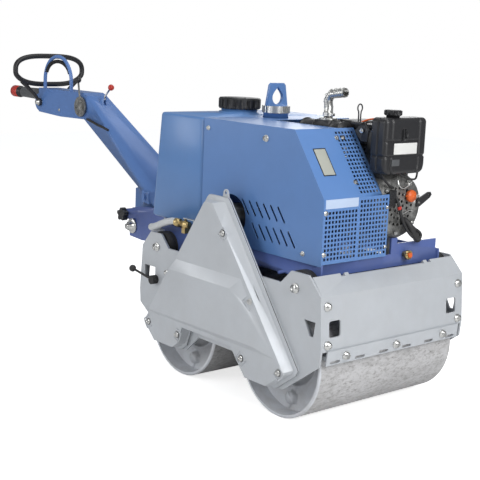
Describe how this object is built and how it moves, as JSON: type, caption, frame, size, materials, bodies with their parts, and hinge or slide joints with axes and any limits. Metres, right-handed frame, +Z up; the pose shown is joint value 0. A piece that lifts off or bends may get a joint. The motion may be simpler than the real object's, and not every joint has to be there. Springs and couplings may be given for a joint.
{
  "type": "walk-behind vibratory roller",
  "caption": "Walk-behind vibratory roller with steel drums in a grey frame, chain case, blue hood and water tank, engine, and a long hinged drawbar with travel hoop and controls.",
  "frame": {"origin": "on the ground midway between the two drum axles, on the machine's middle plane", "axes": "+X towards the engine end, +Y to the machine's left, +Z up"},
  "size_m": [2.6634, 0.816, 1.1444],
  "materials": {
    "drum_steel": "worn bare rolling face with rust-brown dust",
    "frame_grey": "semi-gloss silver-grey paint",
    "frame_blue": "dark violet-blue paint",
    "hood_blue": "mid-blue powder coat",
    "tank_blue": "moulded blue plastic",
    "shaft_steel": "oiled machined steel",
    "zinc": "bright zinc plating",
    "brass": "bare brass",
    "rubber": "matt black rubber",
    "black_plastic": "satin black moulding",
    "grey_plastic": "grey moulding",
    "orange_plastic": "orange moulding",
    "red_plastic": "red moulding",
    "clear_hose": "clear hose",
    "engine_alloy": "cast alloy",
    "engine_black": "black heat-resistant paint",
    "hydraulic_grey": "dark grey paint",
    "chain_steel": "oiled dark steel",
    "exhaust_steel": "bright heat-tinted steel"
  },
  "bodies": {
    "chassis": {"shaft_bearings": "shaft_steel", "side_plate_right": "frame_grey", "side_plate_left": "frame_grey", "front_panel": "frame_grey", "rear_panel": "frame_grey", "scraper_strips": "frame_grey", "exciter_tube": "frame_grey", "hydraulic_motors": "hydraulic_grey", "drive_chains": "chain_steel", "case_back_plate": "frame_grey", "case_seal": "rubber", "chain_cover": "frame_grey", "rubber_buffers": "rubber", "frame_bolts": "zinc", "upper_frame": "frame_blue", "water_tank": "tank_blue", "water_hose": "clear_hose", "brass_fittings": "brass", "sprinkler_pipes": "black_plastic", "hood_side": "hood_blue", "hood_top": "hood_blue", "hood_front": "hood_blue", "front_grille": "hood_blue", "lifting_eye": "hood_blue", "crankcase": "engine_alloy", "cylinder_block": "engine_alloy", "blower_housing": "engine_black", "fuel_tank": "black_plastic", "muffler": "engine_black", "exhaust_elbow": "exhaust_steel", "drain_hose": "rubber", "hydraulic_pump": "hydraulic_grey", "hydraulic_hoses": "rubber", "pivot_bolt": "zinc"},
    "front_drum": {"front_drum": "drum_steel", "front_drum_ends": "drum_steel", "front_sprocket_shaft": "shaft_steel"},
    "rear_drum": {"rear_drum": "drum_steel", "rear_drum_ends": "drum_steel", "rear_sprocket_shaft": "shaft_steel"},
    "motor_sprocket": {"motor_sprocket": "shaft_steel"},
    "exciter_shaft": {"exciter_shaft": "shaft_steel"},
    "flywheel": {"flywheel": "engine_alloy"},
    "drawbar": {"drawbar": "frame_blue", "control_head": "frame_blue", "guard_hoop": "frame_blue", "hoop_bolts": "zinc", "button_housing": "grey_plastic", "throttle_cable": "rubber"},
    "travel_hoop": {"travel_hoop": "black_plastic"},
    "stop_button": {"stop_button": "red_plastic"},
    "throttle_lever": {"throttle_lever": "black_plastic"},
    "vibration_lever": {"vibration_lever": "red_plastic"},
    "ball_lever": {"ball_lever": "rubber"},
    "star_knob": {"star_knob": "black_plastic"},
    "water_cap": {"water_cap": "black_plastic"},
    "fuel_cap": {"fuel_cap": "black_plastic"},
    "oil_cap": {"oil_cap": "orange_plastic"},
    "cock_lever": {"cock_lever": "zinc"},
    "stop_lever": {"stop_lever": "engine_black"}
  },
  "joints": [
    {"name": "front_drum_roll", "type": "hinge", "parent": "chassis", "child": "front_drum", "pos_m": [0.2715, 0, 0.2], "axis": [0, 1, 0], "continuous": true},
    {"name": "rear_drum_roll", "type": "hinge", "parent": "chassis", "child": "rear_drum", "pos_m": [-0.2715, 0, 0.2], "axis": [0, 1, 0], "continuous": true},
    {"name": "motor_sprocket_turn", "type": "hinge", "parent": "chassis", "child": "motor_sprocket", "pos_m": [-0.04525, 0, 0.63598], "axis": [0, 1, 0], "continuous": true, "deforming": ["drive_chains"]},
    {"name": "exciter_shaft_turn", "type": "hinge", "parent": "chassis", "child": "exciter_shaft", "pos_m": [0, 0, 0.305], "axis": [0, 1, 0], "continuous": true},
    {"name": "flywheel_turn", "type": "hinge", "parent": "chassis", "child": "flywheel", "pos_m": [0, 0.08, 0.709], "axis": [1, 0, 0], "continuous": true},
    {"name": "drawbar_swing", "type": "hinge", "parent": "chassis", "child": "drawbar", "pos_m": [-0.945, 0, 0.441], "axis": [0, 1, 0], "range_deg": [-15, 65]},
    {"name": "travel_hoop_tilt", "type": "hinge", "parent": "drawbar", "child": "travel_hoop", "pos_m": [-1.835, 0, 0.91], "axis": [0, 1, 0], "range_deg": [-8, 8], "stiffness_Nm_per_rad": 20},
    {"name": "stop_button_press", "type": "slide", "parent": "drawbar", "child": "stop_button", "axis": [1, 0, 0], "range_m": [0, 0.006], "stiffness_N_per_m": 1500},
    {"name": "throttle_lever_turn", "type": "hinge", "parent": "drawbar", "child": "throttle_lever", "pos_m": [-1.45, -0.058, 0.915], "axis": [0, 1, 0], "range_deg": [-30, 30]},
    {"name": "vibration_lever_tilt", "type": "hinge", "parent": "drawbar", "child": "vibration_lever", "pos_m": [-1.35, 0, 0.957], "axis": [0, 1, 0], "range_deg": [-15, 30]},
    {"name": "ball_lever_tilt", "type": "hinge", "parent": "chassis", "child": "ball_lever", "pos_m": [-0.412, -0.35, 0.341], "axis": [0, 1, 0], "range_deg": [-25, 25]},
    {"name": "star_knob_turn", "type": "hinge", "parent": "chassis", "child": "star_knob", "pos_m": [-0.929, -0.15, 0.499], "axis": [0, 1, 0], "range_deg": [-120, 120]},
    {"name": "water_cap_turn", "type": "hinge", "parent": "chassis", "child": "water_cap", "pos_m": [-0.375, 0, 0.986], "axis": [0, 0, 1], "range_deg": [0, 120]},
    {"name": "fuel_cap_turn", "type": "hinge", "parent": "chassis", "child": "fuel_cap", "pos_m": [0.41, 0.008, 1.014], "axis": [0, 0, 1], "range_deg": [0, 90]},
    {"name": "oil_cap_turn", "type": "hinge", "parent": "chassis", "child": "oil_cap", "pos_m": [0.401, 0.128, 0.743], "axis": [1, 0, 0], "range_deg": [0, 120]},
    {"name": "cock_lever_turn", "type": "hinge", "parent": "chassis", "child": "cock_lever", "pos_m": [-0.24817, -0.341, 0.593], "axis": [0, 0, 1], "range_deg": [-90, 0]},
    {"name": "stop_lever_swing", "type": "hinge", "parent": "chassis", "child": "stop_lever", "pos_m": [0.3975, 0.176, 0.716], "axis": [1, 0, 0], "range_deg": [-30, 15]}
  ],
  "couplings": [
    {"joint": "rear_drum_roll", "follows": "front_drum_roll", "ratio": 1},
    {"joint": "motor_sprocket_turn", "follows": "front_drum_roll", "ratio": 2}
  ]
}
